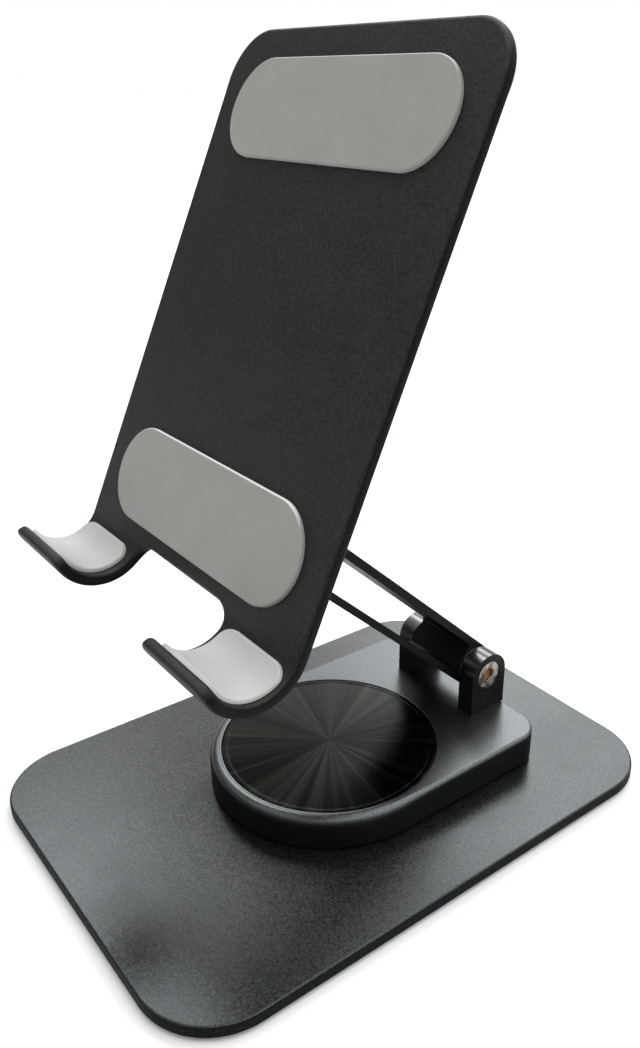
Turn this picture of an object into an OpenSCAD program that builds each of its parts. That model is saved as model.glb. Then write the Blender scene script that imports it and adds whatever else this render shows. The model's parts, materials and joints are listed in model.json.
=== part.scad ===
// Folding phone stand: steel base, swivelling turntable, slotted link arm
// and a tilting cradle plate with two padded hooks.
// Origin: swivel axis at the surface the stand rests on. +X right, +Y back, +Z up.

/* [Base] */
// Width of the base plate, left to right
base_w = 80; // [70:1:100]
// Length of the base plate, front to back
base_l = 112; // [100:1:130]
// Thickness of the base plate
base_t = 2.5; // [2.2:0.1:4]
// Corner radius of the base plate
base_corner_r = 14; // [6:1:30]
// Thickness of the anti-slip pad below the base plate
foot_t = 0.8; // [0.5:0.1:1.5]
// How far the anti-slip pad stays inside the base plate's edge
foot_inset = 3; // [1:0.5:8]

/* [Turntable] */
// Radius of the turntable's round front, and half its width
table_r = 24; // [23:0.5:28]
// Height of the turntable's housing
table_h = 6.45; // [6:0.05:10]
// Distance from the swivel axis to the turntable's straight back
table_back = 37.4; // [36.5:0.1:44]
// Radius of the two back corners, seen from above
table_corner_r = 6; // [3:0.5:9]
// Radius that softens the housing's top edge
table_edge_r = 1; // [0.4:0.1:1.4]
// Radius of the decorative disc
disc_r = 21.6; // [14:0.1:21.8]
// Thickness of the decorative disc
disc_t = 0.9; // [0.6:0.05:0.9]

/* [Arm] */
// Distance between the arm's two hinge pins
arm_l = 68.5; // [60:0.5:90]
// Width of the arm, along the pins
arm_w = 14.4; // [12:0.2:14.4]
// Thickness of the arm, which is also the diameter of its round ends
arm_h = 9.4; // [9:0.1:10]
// Thickness of the wall above the arm's slot
arm_upper_wall = 1.6; // [1.2:0.1:2]
// Thickness of the wall below the arm's slot
arm_lower_wall = 1.5; // [1.2:0.1:2]
// Distance from each pin to the near end of the slot
slot_end = 5; // [4.8:0.1:9]
// Angle of the arm above the horizontal
arm_angle = 42.6; // [30:0.1:60]

/* [Cradle plate] */
// Width of the cradle plate
plate_w = 68; // [60:1:80]
// Thickness of the cradle plate's sheet
plate_t = 2; // [1.8:0.1:2.5]
// Height of the plate's top edge above the upper pin, along the plate
plate_top = 78.5; // [60:0.5:100]
// Backward lean of the plate from the vertical
plate_lean = 24.5; // [10:0.1:40]
// Radius of the plate's top corners
plate_corner_r = 9; // [4:0.5:15]
// Width of the cable notch between the hooks
notch_w = 30; // [24:1:34]
// Radius of the notch's upper corners
notch_r = 4; // [2:0.5:5]
// Inside radius of the hooks' bend
bend_r = 7.2; // [6:0.1:9]
// Angle through which the hooks turn
bend_angle = 140; // [110:1:150]
// Corner radius at the hooks' lips
lip_r = 2.4; // [1:0.1:3]

/* [Pads] */
// Thickness of the silicone pads
pad_t = 0.8; // [0.5:0.1:1.2]
// Length of the two oval pads
pad_l = 56; // [50:1:60]
// Width of the two oval pads
pad_w = 16.7; // [16:0.1:20]
// Width of the pad in each hook
hook_pad_w = 15.4; // [12:0.2:16]
// Corner radius of the hook pads
hook_pad_r = 3; // [1:0.5:4]

/* [Hinges] */
// Radius of the hinge pins
pin_r = 2.5; // [2:0.1:2.6]
// Thickness of each hinge lug, along the pin
lug_w = 4.05; // [3.5:0.05:5]
// Radius of a hinge screw's head
hinge_head_r = 3; // [2.6:0.1:3.2]
// Height of the lower pin above the turntable's top
lower_pin_rise = 8.25; // [6:0.05:10]
// Distance from the swivel axis to the lower pin
lower_pin_y = 33; // [31:0.1:33]
// Distance from the plate's back to the upper pin
upper_pin_gap = 6.4; // [6.2:0.1:8]

/* [Hidden] */
$fn = 96;
eps = 0.01;        // overshoot of a cutting tool
run_gap = 0.05;    // running clearance, on a radius or between faces

// Swivel, from the floor up
plate_top_z = foot_t + base_t;
foot_hole_r = 8;                              // hole in the anti-slip pad, under the screw
glide_t = 0.5;
glide_r = [9, 19];                            // inner and outer radius of the glide ring
table_z = plate_top_z + glide_t + run_gap;
table_top_z = table_z + table_h;
web_t = 1.6;                                  // housing floor round the screw
disc_recess = 1;
recess_gap = 0.1;                             // between the disc and its recess
cavity_r = 12;
swivel_r = 2.5;                               // M5 screw
swivel_head_r = 4.6;
swivel_socket_r = 1.73;                       // 3 mm hex key
swivel_socket_depth = 1.4;
bush_r_out = 4;
bush_flange_r = 7;
bush_flange_t = 0.5;
flange_top_z = table_z + web_t + bush_flange_t;
washer_r = 6.5;
washer_t = 0.4;
washer_dish = 0.1;                            // cone height of the spring washer
nut_z = flange_top_z + washer_t + washer_dish + 2 * run_gap;
nut_h = 2.4;
nut_flats = 8;
screw_top_z = nut_z + nut_h;

// Hinges: the same stack across X at both ends of the arm
hinge_washer_t = 0.4;
lug_x = arm_w / 2 + hinge_washer_t + 2 * run_gap;    // inner face of a lug
lug_out_x = lug_x + lug_w;
knuckle_r = arm_h / 2;
head_depth = 1.5;
head_recess = 0.2;                            // head face below the lug's face
socket_r = 1.45;                              // 2.5 mm hex key
socket_depth = 1;
screw_r = 1.5;                                // M3 thread of the hinge screws
screw_l = 5;                                  // thread length in the pin
arm_bush_r = 3.2;
bore_r = pin_r + run_gap;
slot_corner_r = 0.8;
lower_pin_z = table_top_z + lower_pin_rise;
small_screw_r = 1.25;                         // M2.5 screws that hold the lugs
lug_tenon = [3, 6, 2.5];
lug_screw_tip = 3.6;                          // screw length above the housing's top
lug_screw_head_r = 2.2;
lug_screw_head_t = 1.4;
lug_screw_sunk = 0.2;                         // head face above the housing's underside
small_socket_r = 1.15;                        // 2 mm hex key
small_socket_depth = 0.9;

// Cradle plate, in its own frame: the origin is the upper pin, the plate stands
// upright and faces -Y
back_y = -upper_pin_gap;
front_y = back_y - plate_t;
bend_z = -12.1;                               // height where the hooks start to bend
bend_y = front_y - bend_r;
notch_z = -12;                                // top of the cable notch
notch_depth = 14;
corner_steps = 8;                             // facets in a quarter of a sheet's corner
bend_steps = 40;                              // facets along the hooks' bend
pad_upper_rise = 13.8;                        // upper pad's middle below the plate's top edge
pad_upper_z = plate_top - pad_upper_rise;
pad_lower_z = -0.8;
hook_x = (plate_w / 2 + notch_w / 2) / 2;     // middle of a hook
bend_step = bend_angle / bend_steps;
pad_first_step = 4;                           // facets of the bend between which the hook pad lies
pad_last_step = bend_steps - 1;
foot_out_x = 20;                              // outer end of an upper lug's foot
foot_thick = 1.8;
foot_half = 7.5;
foot_screw_x = 16;
foot_corner_r = 2;
foot_screw_z = 4.5;
small_head_r = 2.6;

// ---------- shared shapes ----------

// Rectangle with round corners, centred, made of plain circles and squares
module round_rect(w, l, r) {
    square([w - 2 * r, l], center = true);
    square([w, l - 2 * r], center = true);
    for (sx = [-1, 1], sy = [-1, 1])
        translate([sx * (w / 2 - r), sy * (l / 2 - r)]) circle(r);
}

// Extrudes a (y, z) outline along X, between x0 and x1
module along_x(x0, x1) {
    translate([x0, 0, 0]) rotate([90, 0, 90]) linear_extrude(x1 - x0) children();
}

// Cylinder on the X axis, between x0 and x1
module rod_x(x0, x1, r) {
    translate([x0, 0, 0]) rotate([0, 90, 0]) cylinder(h = x1 - x0, r = r);
}

module ring_x(x0, x1, r_out, r_in) {
    difference() {
        rod_x(x0, x1, r_out);
        rod_x(x0 - eps, x1 + eps, r_in);
    }
}

module both_sides() {
    children();
    mirror([1, 0, 0]) children();
}

module at_lower_pin() { translate([0, lower_pin_y, lower_pin_z]) children(); }

module on_arm() { at_lower_pin() rotate([-arm_angle, 0, 0]) children(); }

module at_upper_pin() {
    translate([0, lower_pin_y - arm_l * cos(arm_angle), lower_pin_z + arm_l * sin(arm_angle)])
        rotate([-plate_lean, 0, 0]) children();
}

// ---------- hinge hardware, on the X axis ----------

// Bore for the pin and counterbore for the screw head, cut in the right-hand lug
module hinge_lug_cut() {
    rod_x(lug_x - eps, lug_out_x + eps, pin_r);
    rod_x(lug_out_x - head_depth, lug_out_x + eps, hinge_head_r + run_gap);
}

// Barrel with a tapped hole in each end
module hinge_pin() {
    end_x = lug_out_x - head_depth;
    difference() {
        rod_x(-end_x, end_x, pin_r);
        both_sides() rod_x(end_x - screw_l - 1, end_x + eps, screw_r);
    }
}

// Low-head screw with a hex socket, in each end of the barrel
module hinge_screws() {
    seat_x = lug_out_x - head_depth;
    both_sides() difference() {
        union() {
            rod_x(seat_x - screw_l, seat_x + eps, screw_r);
            rod_x(seat_x, lug_out_x - head_recess, hinge_head_r);
        }
        translate([lug_out_x - head_recess - socket_depth, 0, 0]) rotate([0, 90, 0])
            cylinder(h = 2, r = socket_r, $fn = 6);
    }
}

module hinge_washers() {
    both_sides() ring_x(arm_w / 2 + run_gap, lug_x - run_gap, knuckle_r - 0.3, pin_r);
}

module arm_bush() { ring_x(-arm_w / 2, arm_w / 2, arm_bush_r, bore_r); }

// Countersunk screw along +Z, its head's face at z = 0
module flat_screw(head_r, r, length) {
    cylinder(h = head_r - r, r1 = head_r, r2 = r);
    cylinder(h = length, r = r);
}

// ---------- base ----------

module base_plate() {
    color([0.16, 0.17, 0.18]) difference() {
        translate([0, 0, foot_t]) linear_extrude(base_t) round_rect(base_w, base_l, base_corner_r);
        translate([0, 0, foot_t]) flat_screw(swivel_head_r, swivel_r, base_t + 1);
        translate([0, 0, foot_t - 1]) cylinder(h = 1 + eps, r = swivel_head_r);
    }
}

module antislip_pad() {
    color([0.1, 0.1, 0.1]) linear_extrude(foot_t) difference() {
        round_rect(base_w - 2 * foot_inset, base_l - 2 * foot_inset, base_corner_r - foot_inset);
        circle(foot_hole_r);
    }
}

module glide_ring() {
    color([0.85, 0.85, 0.82]) translate([0, 0, plate_top_z]) difference() {
        cylinder(h = glide_t, r = glide_r[1]);
        translate([0, 0, -1]) cylinder(h = glide_t + 2, r = glide_r[0]);
    }
}

module swivel_screw() {
    color([0.7, 0.7, 0.72]) translate([0, 0, foot_t]) difference() {
        flat_screw(swivel_head_r, swivel_r, screw_top_z - foot_t);
        translate([0, 0, -1]) cylinder(h = 1 + swivel_socket_depth, r = swivel_socket_r, $fn = 6);
    }
}

module spring_washer() {
    z = flange_top_z + run_gap;
    color([0.75, 0.75, 0.77]) rotate_extrude() polygon([
        [swivel_r + 0.2, z + washer_dish], [washer_r, z],
        [washer_r, z + washer_t], [swivel_r + 0.2, z + washer_dish + washer_t]
    ]);
}

module swivel_nut() {
    color([0.7, 0.7, 0.72]) translate([0, 0, nut_z]) difference() {
        cylinder(h = nut_h, r = nut_flats / sqrt(3), $fn = 6);
        translate([0, 0, -1]) cylinder(h = nut_h + 2, r = swivel_r);
    }
}

// ---------- turntable ----------

// Upright wall outline that ends in a softened top edge, from the axis out to x = w
module edged_profile(w, h, r) {
    square([w, h - r]);
    square([w - r, h]);
    translate([w - r, h - r]) circle(r);
}

// Round front, straight sides and a straight back with round corners
module table_body() {
    corner_x = table_r - table_corner_r;
    corner_y = table_back - table_corner_r;
    rotate_extrude() edged_profile(table_r, table_h, table_edge_r);
    translate([0, corner_y, 0]) rotate([90, 0, 0]) linear_extrude(corner_y) both_sides_2d()
        edged_profile(table_r, table_h, table_edge_r);
    along_x(-corner_x, corner_x) edged_profile(table_back, table_h, table_edge_r);
    for (sx = [-1, 1]) translate([sx * corner_x, corner_y, 0])
        rotate_extrude() edged_profile(table_corner_r, table_h, table_edge_r);
}

module both_sides_2d() {
    children();
    mirror([1, 0]) children();
}

module tenon(side) {
    grow = 2 * side;
    size = lug_tenon + [grow, grow, 0];
    translate([lug_x + lug_w / 2 - size[0] / 2, -size[1] / 2, -size[2]]) cube(size + [0, 0, eps]);
}

module turntable_housing() {
    recess_z = table_h - disc_recess;
    color([0.1, 0.1, 0.11]) translate([0, 0, table_z]) difference() {
        table_body();
        translate([0, 0, recess_z]) cylinder(h = disc_recess + 1, r = disc_r + recess_gap);
        translate([0, 0, web_t]) cylinder(h = table_h, r = cavity_r);
        translate([0, 0, -1]) cylinder(h = web_t + 2, r = bush_r_out);
        both_sides() translate([0, lower_pin_y, 0]) {
            translate([0, 0, table_h]) tenon(run_gap);
            translate([lug_x + lug_w / 2, 0, -1]) cylinder(h = table_h, r = small_screw_r + run_gap);
            translate([lug_x + lug_w / 2, 0, -1])
                cylinder(h = 1 + lug_screw_sunk + lug_screw_head_t, r = lug_screw_head_r + recess_gap);
        }
    }
}

module turntable_disc() {
    color([0.2, 0.2, 0.22]) translate([0, 0, table_top_z - disc_recess]) cylinder(h = disc_t, r = disc_r);
}

module swivel_bush() {
    color([0.8, 0.7, 0.45]) translate([0, 0, table_z]) difference() {
        union() {
            cylinder(h = web_t + eps, r = bush_r_out);
            translate([0, 0, web_t]) cylinder(h = bush_flange_t, r = bush_flange_r);
        }
        translate([0, 0, -1]) cylinder(h = web_t + 3, r = swivel_r + run_gap);
    }
}

module lower_lug() {
    color([0.1, 0.1, 0.11]) at_lower_pin() difference() {
        union() {
            rod_x(lug_x, lug_out_x, knuckle_r);
            translate([lug_x, -knuckle_r, -lower_pin_rise]) cube([lug_w, arm_h, lower_pin_rise]);
            translate([0, 0, -lower_pin_rise]) tenon(0);
        }
        hinge_lug_cut();
        translate([lug_x + lug_w / 2, 0, -lower_pin_rise - lug_tenon[2] - 1])
            cylinder(h = lug_tenon[2] + 1 + lug_screw_tip, r = small_screw_r);
    }
}

module lower_lug_left() { mirror([1, 0, 0]) lower_lug(); }

module lower_lug_right() { lower_lug(); }

module lower_lug_screws() {
    color([0.7, 0.7, 0.72]) both_sides() translate([lug_x + lug_w / 2, lower_pin_y, table_z]) difference() {
        union() {
            translate([0, 0, lug_screw_sunk]) cylinder(h = lug_screw_head_t, r = lug_screw_head_r);
            translate([0, 0, lug_screw_sunk])
                cylinder(h = table_h - lug_screw_sunk + lug_screw_tip, r = small_screw_r);
        }
        translate([0, 0, lug_screw_sunk - 1])
            cylinder(h = 1 + small_socket_depth, r = small_socket_r, $fn = 6);
    }
}

module lower_hinge_pin() { color([0.7, 0.7, 0.72]) at_lower_pin() hinge_pin(); }

module lower_hinge_screws() { color([0.75, 0.5, 0.35]) at_lower_pin() hinge_screws(); }

module lower_hinge_washers() { color([0.3, 0.3, 0.3]) at_lower_pin() hinge_washers(); }

// ---------- arm ----------

module arm_link() {
    slot_l = arm_l - 2 * slot_end;
    slot_h = arm_h - arm_upper_wall - arm_lower_wall;
    slot_mid = (arm_lower_wall - arm_upper_wall) / 2;
    color([0.1, 0.1, 0.11]) on_arm() difference() {
        along_x(-arm_w / 2, arm_w / 2) {
            translate([-arm_l, -arm_h / 2]) square([arm_l, arm_h]);
            for (y = [0, -arm_l]) translate([y, 0]) circle(knuckle_r);
        }
        along_x(-arm_w / 2 - 1, arm_w / 2 + 1)
            translate([-arm_l / 2, slot_mid]) round_rect(slot_l, slot_h, slot_corner_r);
        for (y = [0, -arm_l]) translate([0, y, 0]) rod_x(-arm_w / 2 - 1, arm_w / 2 + 1, arm_bush_r);
    }
}

module arm_lower_bush() { color([0.75, 0.6, 0.35]) on_arm() arm_bush(); }

module arm_upper_bush() { color([0.75, 0.6, 0.35]) on_arm() translate([0, -arm_l, 0]) arm_bush(); }

// ---------- cradle plate ----------

// Points of a quarter circle from angle a0 to a0 + 90, round (cx, cy)
function quarter(cx, cy, r, a0) =
    [for (i = [0 : corner_steps]) let (a = a0 + 90 * i / corner_steps) [cx + r * cos(a), cy + r * sin(a)]];

// Rounds a corner of a curved sheet at bend angle a: dir is 1 at the sheet's end, -1 at its start.
// The cut starts and ends a little outside the sheet, so that it crosses the edges cleanly
module bend_corner_cut(x, side, a, r, dir) {
    far = r + 1;
    arc = [for (i = [1 : corner_steps - 1]) let (t = 90 * i / corner_steps) r * [cos(t), sin(t)]];
    translate([0, bend_y, bend_z]) rotate([-a, 0, 0])
        translate([x - side * r, 0, dir * r]) rotate([-90, 0, 0]) linear_extrude(bend_r + 2 * plate_t)
            scale([side, dir]) polygon(concat(
                [[r + 2 * eps, 0]], arc, [[0, r + 2 * eps], [0, far], [far, far], [far, 0]]
            ));
}

// Cable notch seen from the front, open at the bottom
module notch_outline() {
    half = notch_w / 2;
    polygon(concat(
        [[half, notch_z - notch_depth]],
        quarter(half - notch_r, notch_z - notch_r, notch_r, 0),
        quarter(notch_r - half, notch_z - notch_r, notch_r, 90),
        [[-half, notch_z - notch_depth]]
    ));
}

// Front view of the sheet, before the notch is cut
module plate_outline() {
    half = plate_w / 2;
    low_z = bend_z - bend_r - 2 * plate_t;
    translate([-half, low_z]) square([plate_w, plate_top - plate_corner_r - low_z]);
    translate([-half + plate_corner_r, low_z]) square([plate_w - 2 * plate_corner_r, plate_top - low_z]);
    for (sx = [-1, 1]) translate([sx * (half - plate_corner_r), plate_top - plate_corner_r])
        circle(plate_corner_r);
}

// Points along the bend at radius r, in (y, z), from one facet to another
function bend_arc(r, first, last) = [
    for (i = [first : (last > first ? 1 : -1) : last])
        [bend_y + r * cos(i * bend_step), bend_z - r * sin(i * bend_step)]
];

// Side view of the sheet: straight plate and J-shaped hook
module sheet_profile() {
    top = plate_top + 1;
    polygon(concat(
        [[back_y, top]],
        bend_arc(bend_r + plate_t, 0, bend_steps),
        bend_arc(bend_r, bend_steps, 0),
        [[front_y, top]]
    ));
}

module phone_plate() {
    half = plate_w / 2;
    color([0.13, 0.13, 0.14]) at_upper_pin() difference() {
        intersection() {
            along_x(-half - 1, half + 1) sheet_profile();
            rotate([90, 0, 0]) linear_extrude(4 * bend_r) plate_outline();
        }
        translate([0, back_y + 1, 0]) rotate([90, 0, 0]) linear_extrude(2 * bend_r + 3 * plate_t + 2)
            notch_outline();
        both_sides() {
            bend_corner_cut(half, 1, bend_angle, lip_r, 1);
            bend_corner_cut(notch_w / 2, -1, bend_angle, lip_r, 1);
            for (sz = [-1, 1]) translate([foot_screw_x, front_y, sz * foot_screw_z])
                rotate([-90, 0, 0]) flat_screw(small_head_r, small_screw_r, plate_t + 1);
        }
    }
}

module oval_pad(z) {
    color([0.66, 0.65, 0.64]) at_upper_pin() translate([0, front_y, z]) rotate([90, 0, 0])
        linear_extrude(pad_t) round_rect(pad_l, pad_w, pad_w / 2 - eps);
}

module upper_pad() { oval_pad(pad_upper_z); }

module lower_pad() { oval_pad(pad_lower_z); }

module hook_pad() {
    x0 = hook_x - hook_pad_w / 2;
    x1 = hook_x + hook_pad_w / 2;
    start = pad_first_step * bend_step;
    color([0.8, 0.79, 0.78]) at_upper_pin() difference() {
        along_x(x0, x1) polygon(concat(
            bend_arc(bend_r, pad_first_step, pad_last_step),
            bend_arc(bend_r - pad_t, pad_last_step, pad_first_step)
        ));
        bend_corner_cut(x1, 1, start, hook_pad_r, -1);
        bend_corner_cut(x0, -1, start, hook_pad_r, -1);
    }
}

module left_hook_pad() { mirror([1, 0, 0]) hook_pad(); }

module right_hook_pad() { hook_pad(); }

// Ear with a foot that is screwed to the plate's back
module upper_lug() {
    color([0.1, 0.1, 0.11]) at_upper_pin() difference() {
        union() {
            rod_x(lug_x, lug_out_x, knuckle_r);
            translate([lug_x, back_y, -knuckle_r]) cube([lug_w, upper_pin_gap, arm_h]);
            lug_foot();
        }
        hinge_lug_cut();
        for (sz = [-1, 1]) translate([foot_screw_x, back_y - 1, sz * foot_screw_z])
            rotate([-90, 0, 0]) cylinder(h = foot_thick + 2, r = small_screw_r);
    }
}

module lug_foot() {
    translate([(lug_x + foot_out_x) / 2, back_y + foot_thick, 0]) rotate([90, 0, 0])
        linear_extrude(foot_thick) round_rect(foot_out_x - lug_x, 2 * foot_half, foot_corner_r);
}

module upper_lug_left() { mirror([1, 0, 0]) upper_lug(); }

module upper_lug_right() { upper_lug(); }

module upper_lug_screws() {
    color([0.7, 0.7, 0.72]) at_upper_pin() both_sides() for (sz = [-1, 1])
        translate([foot_screw_x, front_y, sz * foot_screw_z]) rotate([-90, 0, 0])
            flat_screw(small_head_r, small_screw_r, plate_t + foot_thick);
}

module upper_hinge_pin() { color([0.7, 0.7, 0.72]) at_upper_pin() hinge_pin(); }

module upper_hinge_screws() { color([0.75, 0.5, 0.35]) at_upper_pin() hinge_screws(); }

module upper_hinge_washers() { color([0.3, 0.3, 0.3]) at_upper_pin() hinge_washers(); }

base_plate();
antislip_pad();
glide_ring();
swivel_screw();
spring_washer();
swivel_nut();
turntable_housing();
turntable_disc();
swivel_bush();
lower_lug_left();
lower_lug_right();
lower_lug_screws();
lower_hinge_pin();
lower_hinge_screws();
lower_hinge_washers();
arm_link();
arm_lower_bush();
arm_upper_bush();
phone_plate();
upper_pad();
lower_pad();
left_hook_pad();
right_hook_pad();
upper_lug_left();
upper_lug_right();
upper_lug_screws();
upper_hinge_pin();
upper_hinge_screws();
upper_hinge_washers();
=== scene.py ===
"""Looks of the folding phone stand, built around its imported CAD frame. Everything is in metres."""

import json
import math

import bmesh
import bpy
from mathutils import Matrix, Vector


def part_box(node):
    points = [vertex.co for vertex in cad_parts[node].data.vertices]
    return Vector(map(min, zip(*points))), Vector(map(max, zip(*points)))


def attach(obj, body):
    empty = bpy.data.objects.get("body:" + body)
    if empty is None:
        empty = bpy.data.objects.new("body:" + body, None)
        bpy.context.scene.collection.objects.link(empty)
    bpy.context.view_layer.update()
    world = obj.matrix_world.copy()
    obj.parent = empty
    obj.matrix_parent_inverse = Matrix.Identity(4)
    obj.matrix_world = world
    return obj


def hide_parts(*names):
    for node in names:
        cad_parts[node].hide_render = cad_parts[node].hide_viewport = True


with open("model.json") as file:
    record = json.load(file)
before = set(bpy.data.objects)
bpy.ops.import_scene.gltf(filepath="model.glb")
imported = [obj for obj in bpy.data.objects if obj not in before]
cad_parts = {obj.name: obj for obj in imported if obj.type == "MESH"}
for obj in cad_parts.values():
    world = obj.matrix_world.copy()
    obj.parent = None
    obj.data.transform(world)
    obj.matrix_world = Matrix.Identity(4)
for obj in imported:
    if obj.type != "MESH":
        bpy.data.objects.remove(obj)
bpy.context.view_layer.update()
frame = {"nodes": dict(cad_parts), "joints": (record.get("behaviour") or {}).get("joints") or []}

MM = 0.001


# ---------------------------------------------------------------- camera, light and floor

# The photograph's camera, solved from the straight edges of the base and the plate.
CAMERA_PLACE = (0.12955, -0.09478, 0.13064)
CAMERA_TURN = (65.758, -0.391, 51.672)  # degrees about X, Y and Z
CAMERA_SENSOR = 36  # sensor width and focal length, both in millimetres
CAMERA_LENS = 33.21
CAMERA_SHIFT = (-0.0412, -0.0012)
CAMERA_NEAR = 10 * MM
FLOOR_HALF = 30


def heading(azimuth, elevation):
    """Unit vector; azimuth is counter-clockwise from +X, in degrees."""
    a, e = math.radians(azimuth), math.radians(elevation)
    return (math.cos(a) * math.cos(e), math.sin(a) * math.cos(e), math.sin(e))


# Soft glows of the studio. Each has a direction, the cosines of the angles from it at which the glow
# starts and is full, and its strengths at those two. Those with a negative strength are dark flags.
WORLD_GLOWS = [
    (heading(0, 90), 0.2, 1.0, 0.1, 1.5),
    (heading(50, 50), 0.4, 1.0, 0.0, 1.3),
    (heading(141, 36), 0.866, 0.985, 0.0, 1.2),
    (heading(129, 40), 0.965, 0.9945, 0.0, 4.2),
    (heading(140, 29), 0.974, 0.996, 0.0, 2.0),
    (heading(162.5, 49), 0.98, 0.9962, 0.0, 9.5),
    (heading(148, 46), 0.984, 0.9972, 0.0, -9.0),
    (heading(145, 39), 0.99, 0.9986, 0.0, -3.3),
]
WORLD_DARKEST = 0.08
WORLD_TINT = (0.98, 0.99, 1.0, 1)
WHITE = (1, 1, 1, 1)


def make_camera():
    """The scene's camera, at the photograph's viewing angle."""
    data = bpy.data.cameras.new("camera")
    data.sensor_width = CAMERA_SENSOR
    data.lens = CAMERA_LENS
    data.shift_x, data.shift_y = CAMERA_SHIFT
    data.clip_start = CAMERA_NEAR
    camera = bpy.data.objects.new("camera", data)
    camera.location = CAMERA_PLACE
    camera.rotation_euler = [math.radians(a) for a in CAMERA_TURN]
    bpy.context.scene.collection.objects.link(camera)
    bpy.context.scene.camera = camera


def make_world():
    """A pale studio: the camera sees plain white, and the surfaces see the glows."""
    world = bpy.data.worlds.new("studio")
    bpy.context.scene.world = world
    world.use_nodes = True
    nodes, links = world.node_tree.nodes, world.node_tree.links
    nodes.clear()
    place = nodes.new("ShaderNodeTexCoord").outputs["Generated"]

    def glow(direction, start, full, dim, bright):
        """Strength of one glow in the direction that a ray looks."""
        spot = nodes.new("ShaderNodeVectorMath")
        spot.operation = "DOT_PRODUCT"
        links.new(place, spot.inputs[0])
        spot.inputs[1].default_value = direction
        ramp = nodes.new("ShaderNodeMapRange")
        ramp.interpolation_type = "SMOOTHSTEP"
        links.new(spot.outputs["Value"], ramp.inputs["Value"])
        ramp.inputs["From Min"].default_value = start
        ramp.inputs["From Max"].default_value = full
        ramp.inputs["To Min"].default_value = dim
        ramp.inputs["To Max"].default_value = bright
        return ramp.outputs["Result"]

    def joined(operation, first, second):
        """Result of a math node; second is a socket or a number."""
        made = nodes.new("ShaderNodeMath")
        made.operation = operation
        links.new(first, made.inputs[0])
        if isinstance(second, bpy.types.NodeSocket):
            links.new(second, made.inputs[1])
        else:
            made.inputs[1].default_value = second
        return made.outputs[0]

    total = glow(*WORLD_GLOWS[0])
    for more in WORLD_GLOWS[1:]:
        total = joined("ADD", total, glow(*more))
    lit = nodes.new("ShaderNodeBackground")
    lit.inputs["Color"].default_value = WORLD_TINT
    links.new(joined("MAXIMUM", total, WORLD_DARKEST), lit.inputs["Strength"])
    seen = nodes.new("ShaderNodeBackground")
    seen.inputs["Color"].default_value = WHITE
    path = nodes.new("ShaderNodeLightPath")
    mix = nodes.new("ShaderNodeMixShader")
    links.new(path.outputs["Is Camera Ray"], mix.inputs["Fac"])
    links.new(lit.outputs[0], mix.inputs[1])
    links.new(seen.outputs[0], mix.inputs[2])
    out = nodes.new("ShaderNodeOutputWorld")
    links.new(mix.outputs[0], out.inputs["Surface"])


def make_floor():
    """A plain pale floor under the stand."""
    mesh = bpy.data.meshes.new("floor")
    corners = [(x * FLOOR_HALF, y * FLOOR_HALF, 0) for x, y in ((-1, -1), (1, -1), (1, 1), (-1, 1))]
    mesh.from_pydata(corners, [], [(0, 1, 2, 3)])
    floor = bpy.data.objects.new("floor", mesh)
    bpy.context.scene.collection.objects.link(floor)
    paint(floor, plain_floor())


# ---------------------------------------------------------------- materials


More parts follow.
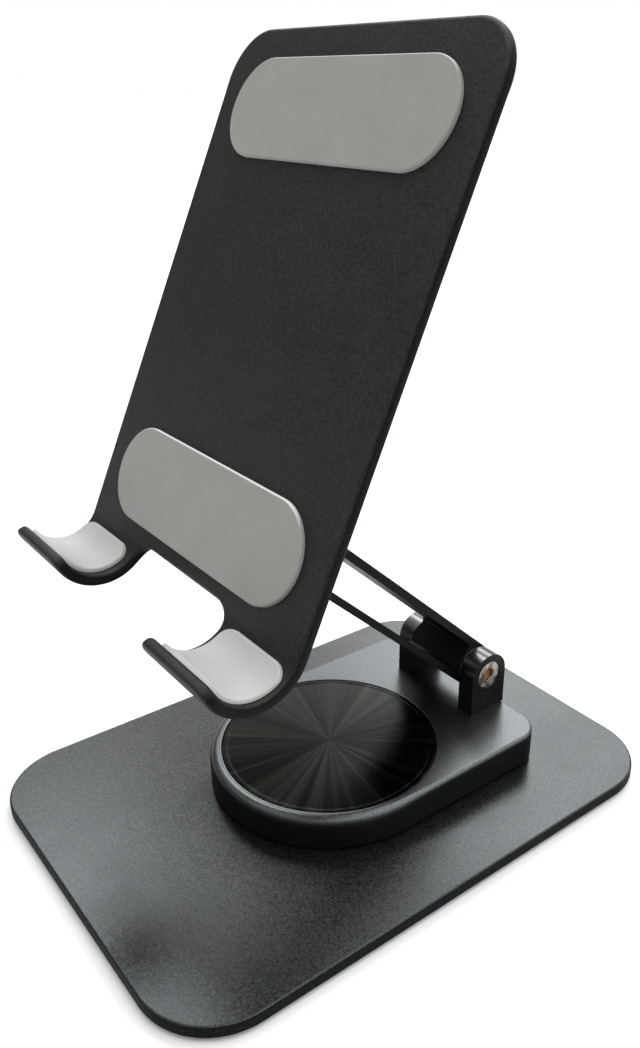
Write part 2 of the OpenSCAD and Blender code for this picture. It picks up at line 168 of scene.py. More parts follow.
class Finish:
    """A material with one Principled shader, and short ways to add patterns to it."""

    def __init__(self, name, colour, roughness, metallic=0.0, specular=0.5):
        """A plain shader, and the object's frames that patterns can use."""
        self.material = bpy.data.materials.new(name)
        self.material.use_nodes = True
        self.nodes = self.material.node_tree.nodes
        self.links = self.material.node_tree.links
        self.shader = self.nodes["Principled BSDF"]
        self.set("Base Color", (*colour, 1))
        self.set("Roughness", roughness)
        self.set("Metallic", metallic)
        self.set("Specular IOR Level", specular)
        frames = self.nodes.new("ShaderNodeTexCoord")
        self.place = frames.outputs["Object"]
        self.spread = frames.outputs["Generated"]
        self.normal = frames.outputs["Normal"]
        self.relief = None

    def set(self, socket, value):
        """Sets a constant on the shader's own socket."""
        self.shader.inputs[socket].default_value = value

    def node(self, kind, inputs=None, **settings):
        """Adds a node; inputs are linked where they are sockets, and set where they are values."""
        made = self.nodes.new(kind)
        for key, value in settings.items():
            setattr(made, key, value)
        for key, value in (inputs or {}).items():
            if isinstance(value, bpy.types.NodeSocket):
                self.links.new(value, made.inputs[key])
            else:
                made.inputs[key].default_value = value
        return made

    def noise(self, size, detail=2.0, roughness=0.5, place=None):
        """Noise whose lumps are about size metres across, from 0 to 1."""
        return self.node(
            "ShaderNodeTexNoise",
            {"Vector": place or self.place, "Scale": 1 / size, "Detail": detail, "Roughness": roughness},
        ).outputs["Fac"]

    def specks(self, size, share):
        """1 inside small round specks and 0 elsewhere; share is the specks' radius over their spacing."""
        cells = self.node("ShaderNodeTexVoronoi", {"Vector": self.place, "Scale": 1 / size}, feature="F1")
        return self.ramp(cells.outputs["Distance"], share, share * 0.4)

    def ramp(self, value, low, high, out_low=0.0, out_high=1.0):
        """value taken from the range low to high to the range out_low to out_high, and clamped."""
        return self.node(
            "ShaderNodeMapRange",
            {"Value": value, "From Min": low, "From Max": high, "To Min": out_low, "To Max": out_high},
        ).outputs["Result"]

    def math(self, operation, a, b=0.0):
        """Result of a math node."""
        return self.node("ShaderNodeMath", {0: a, 1: b}, operation=operation).outputs[0]

    def vector(self, operation, a, b=(0, 0, 0), output="Vector"):
        """Result of a vector math node."""
        return self.node("ShaderNodeVectorMath", {0: a, 1: b}, operation=operation).outputs[output]

    def part(self, axis, vector):
        """The X, Y or Z of a vector."""
        return self.node("ShaderNodeSeparateXYZ", {"Vector": vector}).outputs[axis]

    def drawn(self, *scale):
        """Place scaled along each axis, to stretch a pattern where the scale is small."""
        return self.node("ShaderNodeMapping", {"Vector": self.place, "Scale": scale}).outputs[0]

    def mix(self, fac, a, b):
        """Colour from a, where fac is 0, to b, where it is 1."""
        made = self.node("ShaderNodeMix", data_type="RGBA")
        colours = [s for s in made.inputs if s.type == "RGBA"]
        for socket, value in ((made.inputs["Factor"], fac), (colours[0], a), (colours[1], b)):
            if isinstance(value, bpy.types.NodeSocket):
                self.links.new(value, socket)
            else:
                socket.default_value = (*value, 1) if isinstance(value, tuple) else value
        return [s for s in made.outputs if s.type == "RGBA"][0]

    def colour(self, value):
        """Links a pattern to the colour."""
        self.links.new(value, self.shader.inputs["Base Color"])

    def rough(self, value):
        """Links a pattern to the roughness."""
        self.links.new(value, self.shader.inputs["Roughness"])

    def shine(self, value):
        """Links a pattern to the strength of the reflections."""
        self.links.new(value, self.shader.inputs["Specular IOR Level"])

    def facing_up(self):
        """1 on faces that look up in the piece's own frame, 0 on its walls."""
        return self.ramp(self.part("Z", self.normal), 0.35, 0.8)

    def bump(self, height, depth, strength=1.0):
        """Adds relief: height from 0 to 1 stands for depth in metres."""
        inputs = {"Height": height, "Distance": depth, "Strength": strength}
        if self.relief is not None:
            inputs["Normal"] = self.relief
        self.relief = self.node("ShaderNodeBump", inputs).outputs["Normal"]
        self.links.new(self.relief, self.shader.inputs["Normal"])


def plain_floor():
    """Pale matte paper."""
    return Finish("floor_paper", (0.86, 0.86, 0.86), 0.9, specular=0.1).material


def base_coat():
    """Satin black powder coat with a fine sand grain and grey specks; its walls are duller."""
    f = Finish("base_coat", (0.006, 0.0065, 0.007), 0.2, specular=0.6)
    grain = f.noise(0.45 * MM, detail=2, roughness=0.6)
    sand = f.noise(0.28 * MM, detail=1)
    cloud = f.noise(14 * MM, detail=2)
    shade = f.mix(f.ramp(grain, 0.3, 0.7), (0.0015, 0.0017, 0.0019), (0.009, 0.0098, 0.0104))
    speck = f.specks(0.5 * MM, 0.26)
    f.colour(f.mix(speck, shade, (0.026, 0.028, 0.029)))
    f.set("Specular Tint", (0.92, 0.985, 1.0, 1))
    top = f.facing_up()
    gloss = f.math("MULTIPLY", f.ramp(grain, 0.36, 0.64, 0.36, 0.5), f.ramp(sand, 0.36, 0.64, 0.9, 1.1))
    gloss = f.math("ADD", gloss, f.ramp(speck, 0, 1, 0, 0.22))
    f.shine(f.math("MULTIPLY", gloss, f.ramp(top, 0, 1, 0.08, 1)))
    rough = f.math("ADD", f.ramp(grain, 0.3, 0.7, 0.23, 0.3), f.ramp(cloud, 0.3, 0.7, -0.02, 0.03))
    f.rough(f.math("ADD", rough, f.ramp(top, 0, 1, 0.25, 0)))
    f.bump(grain, 0.01 * MM)
    return f.material


def plate_coat():
    """Matte black powder coat with a soft leathery relief and pale specks; faces that look sideways or down
    get painted shade (a darker colour) and reflect less.
    """
    f = Finish("plate_coat", (0.018, 0.0175, 0.018), 0.55, specular=0.35)
    grain = f.noise(0.5 * MM, detail=3, roughness=0.6)
    cloud = f.noise(9 * MM, detail=3)
    shade = f.mix(f.ramp(grain, 0.3, 0.7), (0.003, 0.0029, 0.0031), (0.009, 0.0089, 0.0092))
    shade = f.mix(f.ramp(cloud, 0.35, 0.7, 0.0, 0.35), shade, (0.014, 0.0136, 0.0144))
    shade = f.mix(f.specks(1.1 * MM, 0.05), shade, (0.16, 0.16, 0.165))
    side = f.ramp(f.math("ABSOLUTE", f.part("X", f.normal)), 0.5, 0.9)
    below = f.ramp(f.part("Z", f.normal), -0.45, -0.85)
    painted_shade_and_dull = f.math("MAXIMUM", side, below)
    # Painted shade: the colour is darker on faces that look sideways or down.
    f.colour(f.mix(painted_shade_and_dull, shade, (0.002, 0.0021, 0.0022)))
    f.shine(f.math("MULTIPLY", f.ramp(grain, 0.36, 0.64, 0.26, 0.42), f.ramp(painted_shade_and_dull, 0, 1, 1, 0.3)))
    f.rough(f.ramp(grain, 0.3, 0.7, 0.5, 0.62))
    f.bump(grain, 0.02 * MM)
    f.bump(cloud, 0.05 * MM)
    return f.material


def table_coat():
    """Satin black paint on a die-cast housing; its walls are duller."""
    f = Finish("table_coat", (0.006, 0.0065, 0.007), 0.24, specular=1.0)
    f.set("Specular Tint", (0.93, 0.985, 1.0, 1))
    grain = f.noise(0.4 * MM, detail=2)
    cloud = f.noise(6 * MM, detail=2)
    f.colour(f.mix(cloud, (0.003, 0.0032, 0.0035), (0.007, 0.0074, 0.0079)))
    top = f.facing_up()
    f.shine(f.math("MULTIPLY", f.ramp(grain, 0.36, 0.64, 0.8, 1.2), f.ramp(top, 0, 1, 0.1, 1)))
    f.rough(f.math("ADD", f.ramp(grain, 0.3, 0.7, 0.3, 0.36), f.ramp(top, 0, 1, 0.15, 0)))
    f.bump(grain, 0.003 * MM)
    f.bump(cloud, 0.02 * MM)
    return f.material


def arm_coat():
    """Dull black coat of the arm, faintly drawn along the pins."""
    f = Finish("arm_coat", (0.003, 0.0032, 0.0034), 0.4, specular=0.08)
    lines = f.noise(0.22 * MM, detail=2, place=f.drawn(0.15, 1, 1))
    cloud = f.noise(5 * MM, detail=2)
    f.colour(f.mix(cloud, (0.0015, 0.0017, 0.0018), (0.0045, 0.0048, 0.005)))
    f.rough(f.ramp(lines, 0.3, 0.7, 0.34, 0.46))
    f.bump(lines, 0.005 * MM)
    return f.material


def lug_coat():
    """Glossy black lugs whose round tops are polished brighter than their cheeks."""
    f = Finish("lug_coat", (0.004, 0.0042, 0.0045), 0.26, specular=1.0)
    lines = f.noise(0.3 * MM, detail=2, place=f.drawn(0.15, 1, 1))
    cloud = f.noise(3 * MM, detail=2)
    f.colour(f.mix(cloud, (0.003, 0.0032, 0.0034), (0.007, 0.0073, 0.0078)))
    level = f.math("ABSOLUTE", f.part("Z", f.normal))
    f.shine(f.math("MULTIPLY", f.ramp(cloud, 0.3, 0.7, 1.1, 1.4), f.ramp(level, 0.3, 0.85, 0.1, 1.0)))
    f.rough(f.ramp(lines, 0.3, 0.7, 0.24, 0.3))
    f.bump(lines, 0.001 * MM)
    return f.material


def disc_gloss():
    """Dark spun metal over fine turned rings, with painted reflections: streaks in its colour run out from
    the middle.
    """
    f = Finish("disc_gloss", (0.02, 0.02, 0.02), 0.22, metallic=0.9, specular=0.0)
    f.set("Anisotropic", 0.8)
    flat = f.vector("MULTIPLY", f.place, (1, 1, 0))
    way = f.vector("NORMALIZE", flat)  # on a circle of radius 1, where the streaks' sizes are set
    broad = f.noise(1 / 2.6, detail=3, place=way)
    fine = f.noise(1 / 9.0, detail=2, place=way)
    tint = f.noise(1 / 3.7, detail=1, place=way)
    # Painted reflection: dark and bright streaks and an olive tint, set by the angle about the middle,
    # stand in for light that the turned rings reflect.
    shade = f.mix(f.ramp(broad, 0.4, 0.62), (0.0004, 0.0007, 0.0007), (0.0075, 0.0064, 0.0062))
    shade = f.mix(f.ramp(fine, 0.5, 0.7, 0.0, 0.6), shade, (0.024, 0.021, 0.02))
    shade = f.mix(f.ramp(tint, 0.56, 0.66, 0.0, 0.45), shade, (0.013, 0.0145, 0.0075))
    f.colour(shade)
    radius = f.vector("LENGTH", flat, output="Value")
    ring_spacing = 0.12 * MM
    rings = f.math("SINE", f.math("MULTIPLY", radius, 2 * math.pi / ring_spacing))
    f.rough(f.ramp(broad, 0.3, 0.7, 0.2, 0.3))
    f.bump(rings, 0.0008 * MM)
    tangent = f.node("ShaderNodeTangent", direction_type="RADIAL", axis="Z")
    f.links.new(tangent.outputs[0], f.shader.inputs["Tangent"])
    return f.material


def silicone(name, dark, light, roughness, painted_highlight=None):
    """Matte silicone, faintly clouded, with a dusting of fine grain; edges that look up can get a painted
    highlight, a paler colour.
    """
    f = Finish(name, light, roughness, specular=0.35)
    f.set("Sheen Weight", 0.15)
    f.set("Sheen Roughness", 0.4)
    grain = f.noise(0.22 * MM, detail=2)
    cloud = f.noise(7 * MM, detail=3)
    shade = f.mix(f.ramp(cloud, 0.35, 0.65), dark, light)
    shade = f.mix(f.ramp(grain, 0.35, 0.75, 0.0, 0.18), shade, tuple(c * 0.75 for c in dark))
    if painted_highlight:
        # Painted highlight: edges that look up are given a paler colour.
        shade = f.mix(f.ramp(f.part("Z", f.normal), 0.72, 0.95), shade, painted_highlight)
    f.colour(shade)
    f.rough(f.ramp(grain, 0.3, 0.7, roughness - 0.05, roughness + 0.05))
    f.bump(grain, 0.008 * MM)
    return f.material


def machined(name, dark, light, roughness):
    """Turned metal with fine rings across X and slight stains."""
    f = Finish(name, light, roughness, metallic=1.0)
    lines = f.noise(0.15 * MM, detail=2, place=f.drawn(1, 0.2, 0.2))
    stain = f.noise(1.2 * MM, detail=3)
    f.colour(f.mix(f.ramp(stain, 0.3, 0.7), dark, light))
    f.rough(f.ramp(lines, 0.3, 0.7, roughness - 0.06, roughness + 0.08))
    f.bump(lines, 0.004 * MM)
    return f.material


def screw_finish():
    """Turned screw head: a pale plated ring about a copper-coloured socket."""
    f = Finish("hinge_screw", (0.6, 0.55, 0.48), 0.3, metallic=1.0)
    from_axis = f.vector("MULTIPLY", f.vector("SUBTRACT", f.spread, (0.5, 0.5, 0.5)), (0, 1, 1))
    radius = f.vector("LENGTH", from_axis, output="Value")
    stain = f.noise(1.5 * MM, detail=2)
    lines = f.noise(0.2 * MM, detail=2)
    socket = f.mix(f.ramp(stain, 0.3, 0.7), (0.20, 0.125, 0.08), (0.40, 0.28, 0.19))
    ring = f.mix(f.ramp(stain, 0.35, 0.65), (0.24, 0.215, 0.18), (0.62, 0.58, 0.52))
    f.colour(f.mix(f.ramp(radius, 0.24, 0.31), socket, ring))
    f.rough(f.ramp(stain, 0.3, 0.7, 0.22, 0.36))
    f.bump(lines, 0.004 * MM)
    return f.material


def acetal():
    """White acetal, faintly clouded."""
    f = Finish("acetal", (0.8, 0.8, 0.77), 0.4)
    cloud = f.noise(3 * MM, detail=2)
    f.colour(f.mix(cloud, (0.74, 0.74, 0.7), (0.84, 0.84, 0.82)))
    f.rough(f.ramp(cloud, 0.3, 0.7, 0.36, 0.46))
    return f.material


# Every material but the floor's. In the record, the lugs share the arm's slot, and the hook pads share
# the grey silicone's.
finishes = {
    "base_coat": base_coat(),
    "plate_coat": plate_coat(),
    "table_coat": table_coat(),
    "arm_coat": arm_coat(),
    "lug_coat": lug_coat(),
    "disc_gloss": disc_gloss(),
    "silicone_grey": silicone("silicone_grey", (0.262, 0.258, 0.242), (0.282, 0.279, 0.263), 0.6,
                              painted_highlight=(0.72, 0.72, 0.7)),
    # The hook pads' silicone is the grey silicone painted paler: painted light for pads that face up.
    "silicone_hook_painted_light": silicone("silicone_hook_painted_light", (0.42, 0.42, 0.40), (0.46, 0.46, 0.442), 0.6),
    "silicone_black": silicone("silicone_black", (0.02, 0.02, 0.02), (0.03, 0.03, 0.03), 0.8),
    "copper_screw": screw_finish(),
    "plated_steel": machined("plated_steel", (0.5, 0.5, 0.52), (0.66, 0.66, 0.68), 0.35),
    "bronze": machined("bronze", (0.5, 0.38, 0.2), (0.68, 0.54, 0.32), 0.4),
    "acetal": acetal(),
}


def paint(piece, material):
    """Gives a piece one material. A CAD node keeps its mesh and only takes the material."""
    if piece.material_slots:
        for held in piece.material_slots:
            held.material = material
    else:
        piece.data.materials.append(material)


# ---------------------------------------------------------------- mesh helpers

SHARP_ABOVE = 50  # degrees between faces
SAME_PLACE = 0.001 * MM  # points closer than this are one
ON_CUT = 0.0005 * MM  # points closer than this to a cutting plane lie on it


def as_piece(bm, name):
    """Turns a bmesh into a smooth-shaded object whose flat faces keep flat shading."""
    bmesh.ops.recalc_face_normals(bm, faces=bm.faces)
    mesh = bpy.data.meshes.new(name)
    bm.to_mesh(mesh)
    bm.free()
    for face in mesh.polygons:
        face.use_smooth = True
    mesh.set_sharp_from_angle(angle=math.radians(SHARP_ABOVE))
    piece = bpy.data.objects.new(name, mesh)
    bpy.context.scene.collection.objects.link(piece)
    keep_flat = piece.modifiers.new("keep_flat", "WEIGHTED_NORMAL")
    keep_flat.keep_sharp = True
    keep_flat.weight = 100
    return piece


def add_piece(piece, body, material, slot, *replaced):
    """Paints a piece, ties it to its body and hides the CAD nodes it stands for. slot is not used."""
    paint(piece, material)
    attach(piece, body)
    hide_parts(*replaced)
    return piece


def arc(centre, radius, start, turn, steps):
    """Points of an arc in a plane, both ends included; angles in degrees."""
    points = []
    for i in range(steps + 1):
        a = math.radians(start + turn * i / steps)
        points.append((centre[0] + radius * math.cos(a), centre[1] + radius * math.sin(a)))
    return points


def round_rect(width, length, radius, steps=24):
    """Outline of a rectangle with round corners about the origin, counter-clockwise."""
    x, y = width / 2 - radius, length / 2 - radius
    corners = [((x, y), 0), ((-x, y), 90), ((-x, -y), 180), ((x, -y), 270)]
    return [p for centre, start in corners for p in arc(centre, radius, start, 90, steps)]


def hole_ring(outline, radius, z):
    """A round ring with a point straight inwards from each point of an outline about the Z axis."""
    return [(radius * x / math.hypot(x, y), radius * y / math.hypot(x, y), z) for x, y in outline]


def edge_steps(radius, steps=5):
    """(inset, rise) pairs of a quarter-round edge, from the wall up to the flat face."""
    pairs = []
    for i in range(steps + 1):
        a = math.radians(90 * i / steps)
        pairs.append((radius * (1 - math.cos(a)), radius * math.sin(a)))
    return pairs


def loft(rings, closed=False):
    """Skins rings with the same count of points; the ends are capped, unless the rings form a loop."""
    bm = bmesh.new()
    made = [[bm.verts.new(p) for p in ring] for ring in rings]
    following = made[1:] + made[:1] if closed else made[1:]
    for low, high in zip(made, following):
        for i in range(len(low)):
            j = (i + 1) % len(low)
            bm.faces.new((low[i], low[j], high[j], high[i]))
    if not closed:
        bm.faces.new(made[0])
        bm.faces.new(made[-1])
    return bm


def slab_rings(outline, z0, z1, low_edge, high_edge):
    """Rings of a flat plate with rounded edges. outline(inset) gives the outline moved inwards."""
    rings = []
    for inset, rise in reversed(edge_steps(low_edge)):
        rings.append([(x, y, z0 + low_edge - rise) for x, y in outline(inset)])
    for inset, rise in edge_steps(high_edge):
        rings.append([(x, y, z1 - high_edge + rise) for x, y in outline(inset)])
    return rings


def round_edges(bm, edges, width, segments, clamp):
    """Rounds edges of a bmesh by width; clamp keeps rounded edges from running into each other."""
    bmesh.ops.bevel(
        bm, geom=edges, offset=width, segments=segments, profile=0.5, affect="EDGES", clamp_overlap=clamp
    )


def softened(node, width):
    """A copy of a CAD node with its crisp edges rounded by width."""
    flat_within, crisp_above = math.radians(0.5), math.radians(30)
    bm = bmesh.new()
    bm.from_mesh(frame["nodes"][node].data)
    bmesh.ops.remove_doubles(bm, verts=bm.verts, dist=SAME_PLACE)
    bmesh.ops.dissolve_limit(bm, angle_limit=flat_within, verts=bm.verts, edges=bm.edges)
    crisp = [e for e in bm.edges if len(e.link_faces) == 2 and e.calc_face_angle() > crisp_above]
    round_edges(bm, crisp, width, segments=3, clamp=True)
    return as_piece(bm, node + "_shape")


# ---------------------------------------------------------------- base


def holed_plate(node, corner, low_edge, high_edge, bore, sink=None):
    """A rounded plate that fills a CAD node's box, with a round hole that sink widens from below."""
    low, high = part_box(node)

    def outline(inset):
        """The plate's outline, moved inwards."""
        return round_rect(high.x - low.x - 2 * inset, high.y - low.y - 2 * inset, corner - inset)

    rings = slab_rings(outline, low.z, high.z, low_edge, high_edge)
    rings.append(hole_ring(outline(0), bore, high.z))
    if sink:
        rings.append(hole_ring(outline(0), bore, low.z + sink - bore))
    rings.append(hole_ring(outline(0), sink or bore, low.z))
    return as_piece(loft(rings, closed=True), node + "_shape")


def make_base():
    """The steel base plate, countersunk from below for the swivel screw, and the rubber pad under it."""
    plate = holed_plate(
        "base_plate", corner=14 * MM, low_edge=0.45 * MM, high_edge=0.45 * MM, bore=2.5 * MM, sink=4.6 * MM
    )
    add_piece(plate, "base", finishes["base_coat"], "base_coat", "base_plate")
    foot = holed_plate(
        "antislip_pad", corner=11 * MM, low_edge=0.25 * MM, high_edge=0.05 * MM, bore=8 * MM
    )
    add_piece(foot, "base", finishes["silicone_black"], "silicone_black", "antislip_pad")


# ---------------------------------------------------------------- turntable


def make_housing():
    """The housing. Its top edge is rounded most in front of the disc, and least behind, under the lugs."""
    low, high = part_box("turntable_housing")
    back_corner, recess, web, foot_edge = 6 * MM, 1 * MM, 1.6 * MM, 0.2 * MM
    disc_hole, cavity, bore, hole_edge = 21.7 * MM, 12 * MM, 4 * MM, 0.1 * MM
    front_edge, side_edge, back_edge = 1.8 * MM, 1 * MM, 0.4 * MM
    side_steps, back_steps = 32, 40

    def outline(inset):
        """A round front, straight sides and a straight back, with points along the straight parts."""
        half, corner_y, corner_x = high.x - inset, high.y - back_corner, high.x - back_corner
        points = arc((0, 0), half, 180, 180, 64)
        points += [(half, corner_y * i / side_steps) for i in range(1, side_steps)]
        points += arc((corner_x, corner_y), back_corner - inset, 0, 90, 16)
        points += [(corner_x - 2 * corner_x * i / back_steps, high.y - inset) for i in range(1, back_steps)]
        points += arc((-corner_x, corner_y), back_corner - inset, 90, 90, 16)
        return points + [(-half, corner_y * (1 - i / side_steps)) for i in range(1, side_steps)]

    def share(y, start, end):
        """0 up to start and 1 from end on."""
        return min(max((y - start) / (end - start), 0), 1)

    def edge_radius(y):
        """Eases from front_edge to side_edge beside the disc, and to back_edge near the lugs."""
        beside = share(y, -8 * MM, 8 * MM)
        behind = share(y, 31 * MM, 37 * MM)
        eased = beside * beside * (3 - 2 * beside)
        return front_edge - (front_edge - side_edge) * eased - (side_edge - back_edge) * behind

    def edge_ring(inset, rise):
        """Outline moved in and up by shares of each point's own edge radius."""
        points = []
        for (x, y), (inner_x, inner_y) in zip(outline(0), outline(MM)):
            radius = edge_radius(y)
            move = inset * radius / MM
            z = high.z - (1 - rise) * radius
            points.append((x + (inner_x - x) * move, y + (inner_y - y) * move, z))
        return points

    rings = [[(x, y, low.z) for x, y in outline(foot_edge)]]
    rings += [[(x, y, low.z + foot_edge) for x, y in outline(0)]]
    rings += [edge_ring(inset, rise) for inset, rise in edge_steps(1, 8)]
    for radius, z in (
        (disc_hole + hole_edge, high.z), (disc_hole, high.z - hole_edge), (disc_hole, high.z - recess),
        (cavity, high.z - recess), (cavity, low.z + web), (bore, low.z + web), (bore, low.z),
    ):
        rings.append(hole_ring(outline(0), radius, z))
    housing = as_piece(loft(rings, closed=True), "turntable_housing_shape")
    add_piece(housing, "turntable", finishes["table_coat"], "table_coat", "turntable_housing")


def make_disc():
    """The disc, with a rounded rim and a fine groove just inside it."""
    low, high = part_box("turntable_disc")
    radius, edge, steps = high.x, 0.18 * MM, 192
    groove = ((0.9, 0), (1.0, 0.06), (1.15, 0.06), (1.25, 0))  # inset and depth, in millimetres
    profile = [(radius, low.z)]
    profile += [(radius - inset, high.z - edge + rise) for inset, rise in edge_steps(edge, 3)]
    profile += [(radius - inset * MM, high.z - depth * MM) for inset, depth in groove]
    circle = arc((0, 0), 1, 0, 360, steps)[:-1]
    bm = bmesh.new()
    rings = [[bm.verts.new((r * x, r * y, z)) for x, y in circle] for r, z in profile]
    for outer, inner in zip(rings, rings[1:]):
        for i in range(steps):
            j = (i + 1) % steps
            bm.faces.new((outer[i], outer[j], inner[j], inner[i]))
    middle = bm.verts.new((0, 0, high.z))
    for i in range(steps):
        bm.faces.new((rings[-1][i], rings[-1][(i + 1) % steps], middle))
    bm.faces.new(list(reversed(rings[0])))
    disc = as_piece(bm, "turntable_disc_shape")
    add_piece(disc, "turntable", finishes["disc_gloss"], "disc_gloss", "turntable_disc")


# ---------------------------------------------------------------- cradle plate and pads

# The cradle's own frame is upright, with its origin on the upper pin. Its sizes are those of part.scad.
UPPER_PIN = Vector(next(j["pos_m"] for j in frame["joints"] if j["name"] == "upper_hinge"))
PLATE_LEAN = 24.5  # degrees back from upright
PLATE_GAP = 6.4 * MM  # from the upper pin to the plate's back
PLATE_T = 2 * MM  # T is a thickness, and R a radius
PLATE_TOP = 78.5 * MM
PLATE_HALF = 34 * MM
PLATE_CORNER = 9 * MM
BEND_R = 7.2 * MM  # inside the hooks
BEND_Z = -12.1 * MM  # where the hooks begin to bend
BEND_TURN = 140  # degrees
NOTCH_HALF = 15 * MM  # half the gap between the hooks
NOTCH_TOP = -12 * MM
NOTCH_R = 4 * MM
LIP_R = 2.4 * MM  # the corners at the hooks' tips
PAD_T = 0.8 * MM
HOOK_PAD_FROM, HOOK_PAD_TO = 14, 133  # degrees of the bend

FRONT_Y = -PLATE_GAP - PLATE_T
MID_R = BEND_R + PLATE_T / 2


def along_bend(turn):
    """Height on the flat sheet that comes to lie at an angle of the bend, in degrees."""
    return BEND_Z - MID_R * math.radians(turn)


SHEET_END = along_bend(BEND_TURN)


def from_cradle(point):
    """From the cradle's own upright frame, about the upper pin, to the part's frame."""
    return UPPER_PIN + Matrix.Rotation(math.radians(-PLATE_LEAN), 3, "X") @ Vector(point)


def fold(x, depth, height):
    """Place of a point of the flat sheet once it is bent. depth runs from the front face to the back."""
    turn = (BEND_Z - height) / MID_R
    if turn <= 0:
        return from_cradle((x, FRONT_Y + depth, height))
    radius = BEND_R + depth
    centre_y = FRONT_Y - BEND_R
    return from_cradle((x, centre_y + radius * math.cos(turn), BEND_Z - radius * math.sin(turn)))


def bent_sheet(outline, thickness, edge, segments, cuts, front_only=False):
    """A flat (x, height) outline made thick, rounded at its edges, cut across at heights and then bent.

    The thickness runs backwards, or forwards where it is negative.
    """
    bm = bmesh.new()
    face = bm.faces.new([bm.verts.new((x, 0, z)) for x, z in outline])
    walls = bmesh.ops.extrude_face_region(bm, geom=[face])
    moved = [v for v in walls["geom"] if isinstance(v, bmesh.types.BMVert)]
    bmesh.ops.translate(bm, verts=moved, vec=(0, thickness, 0))
    bmesh.ops.recalc_face_normals(bm, faces=bm.faces)
    rim = [e for e in bm.edges if e.calc_face_angle(0) > math.radians(60)]
    if front_only:
        rim = [e for e in rim if all(v.co.y < thickness / 2 for v in e.verts)]
    round_edges(bm, rim, edge, segments, clamp=False)
    for height in cuts:
        whole = bm.verts[:] + bm.edges[:] + bm.faces[:]
        bmesh.ops.bisect_plane(bm, geom=whole, plane_co=(0, 0, height), plane_no=(0, 0, 1), dist=ON_CUT)
    for v in bm.verts:
        v.co = fold(*v.co)
    return bm


def sheet_outline():
    """Flat outline of the cradle plate, as (x, height) points, counter-clockwise from the top right."""
    top = arc((PLATE_HALF - PLATE_CORNER, PLATE_TOP - PLATE_CORNER), PLATE_CORNER, 0, 90, 20)
    top += [(-x, z) for x, z in reversed(top)]
    lip = SHEET_END + LIP_R
    left = arc((-PLATE_HALF + LIP_R, lip), LIP_R, 180, 90, 8)
    left += arc((-NOTCH_HALF - LIP_R, lip), LIP_R, 270, 90, 8)
    left += arc((-NOTCH_HALF + NOTCH_R, NOTCH_TOP - NOTCH_R), NOTCH_R, 180, -90, 10)
    return top + left + [(-x, z) for x, z in reversed(left)]


def make_plate():
    """The cradle plate, with both hooks and the notch between them."""
    steps = 44
    cuts = [BEND_Z + (SHEET_END - BEND_Z) * i / steps for i in range(steps + 1)]
    bm = bent_sheet(sheet_outline(), PLATE_T, edge=0.75 * MM, segments=5, cuts=cuts)
    plate = as_piece(bm, "phone_plate_shape")
    add_piece(plate, "cradle", finishes["plate_coat"], "plate_coat", "phone_plate")


def make_oval_pads():
    """The two oval pads on the plate's front. Each is a hair off the plate, so that no faces coincide."""
    length, width, edge, off = 56 * MM, 16.7 * MM, 0.35 * MM, 0.02 * MM
    radius = width / 2 - 0.01 * MM  # a little less than half the width, so that no two points coincide
    for node in ("upper_pad", "lower_pad"):
        low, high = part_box(node)
        middle = (low + high) / 2
        height = (Matrix.Rotation(math.radians(PLATE_LEAN), 3, "X") @ (middle - UPPER_PIN)).z
        rings = []
        for inset, rise in [(0, edge + off - PAD_T)] + edge_steps(edge, 6):
            depth = FRONT_Y - PAD_T + edge - rise
            outline = round_rect(length - 2 * inset, width - 2 * inset, radius - inset, 32)
            rings.append([from_cradle((x, depth, height + z)) for x, z in outline])
        pad = as_piece(loft(rings), node + "_shape")
        add_piece(pad, "cradle", finishes["silicone_grey"], "silicone_grey", node)


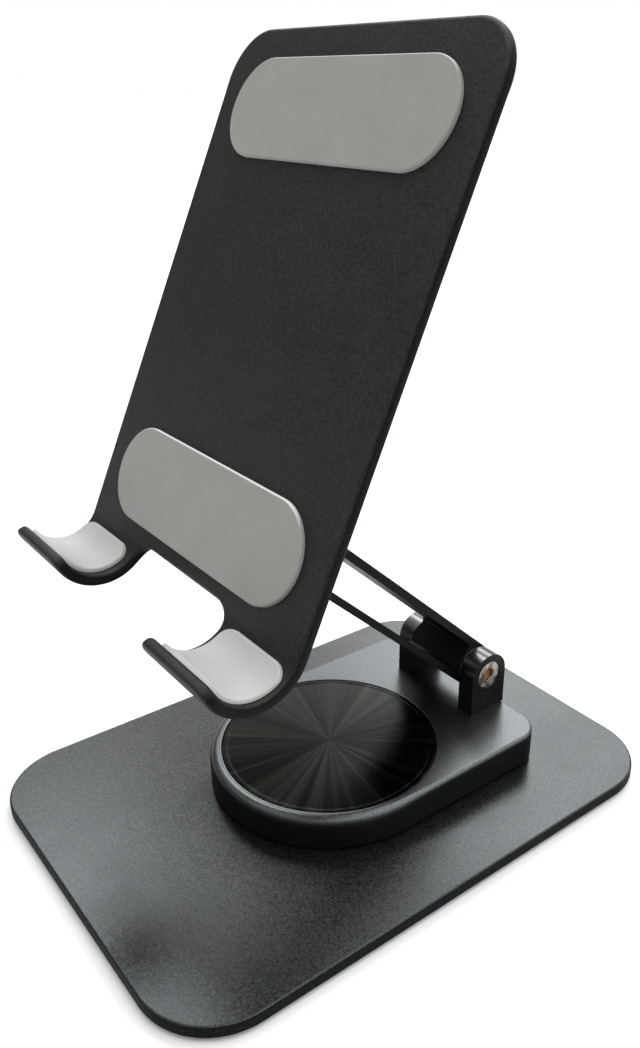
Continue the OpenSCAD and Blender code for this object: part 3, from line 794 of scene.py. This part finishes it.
def make_hook_pads():
    """Thin pads that follow the hooks, a little wider outwards than in the CAD model."""
    corner, widening, steps = 3 * MM, 0.7 * MM, 36
    start, end = along_bend(HOOK_PAD_FROM), along_bend(HOOK_PAD_TO)
    cuts = [start + (end - start) * i / steps for i in range(1, steps)]
    for side, node in ((1, "right_hook_pad"), (-1, "left_hook_pad")):
        low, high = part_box(node)
        middle, height = (low.x + high.x + side * widening) / 2, (start + end) / 2
        flat = round_rect(high.x - low.x + widening, start - end, corner, 12)
        outline = [(middle + x, height + z) for x, z in flat]
        bm = bent_sheet(outline, -PAD_T, edge=0.3 * MM, segments=4, cuts=cuts, front_only=True)
        pad = as_piece(bm, node + "_shape")
        # Their material is the grey silicone painted paler, as painted light.
        add_piece(pad, "cradle", finishes["silicone_hook_painted_light"], "silicone_grey", node)


# ---------------------------------------------------------------- arm, lugs and fasteners


def make_hinges():
    """The lugs, the arm and the hinge screws that show: the CAD shapes with rounded edges."""
    for node, body, width, finish, slot in (
        ("lower_lug_left", "turntable", 0.3, "lug_coat", "arm_coat"),
        ("lower_lug_right", "turntable", 0.3, "lug_coat", "arm_coat"),
        ("upper_lug_left", "cradle", 0.3, "lug_coat", "arm_coat"),
        ("upper_lug_right", "cradle", 0.3, "lug_coat", "arm_coat"),
        ("arm_link", "arm", 0.25, "arm_coat", "arm_coat"),
        ("lower_hinge_screws", "turntable", 0.12, "copper_screw", "copper_screw"),
        ("upper_hinge_screws", "cradle", 0.12, "copper_screw", "copper_screw"),
    ):
        add_piece(softened(node, width * MM), body, finishes[finish], slot, node)


def finish_hidden_nodes():
    """Materials of the CAD nodes that stay as they are."""
    looks = {
        "acetal": ["glide_ring"],
        "plated_steel": [
            "swivel_screw", "spring_washer", "swivel_nut", "lower_lug_screws", "upper_lug_screws",
            "lower_hinge_pin", "upper_hinge_pin", "lower_hinge_washers", "upper_hinge_washers",
        ],
        "bronze": ["swivel_bush", "arm_lower_bush", "arm_upper_bush"],
    }
    for finish, nodes in looks.items():
        for node in nodes:
            paint(frame["nodes"][node], finishes[finish])


make_camera()
make_world()
make_floor()
bpy.context.scene.view_settings.view_transform = "Standard"
make_base()
make_housing()
make_disc()
make_plate()
make_oval_pads()
make_hook_pads()
make_hinges()
finish_hidden_nodes()
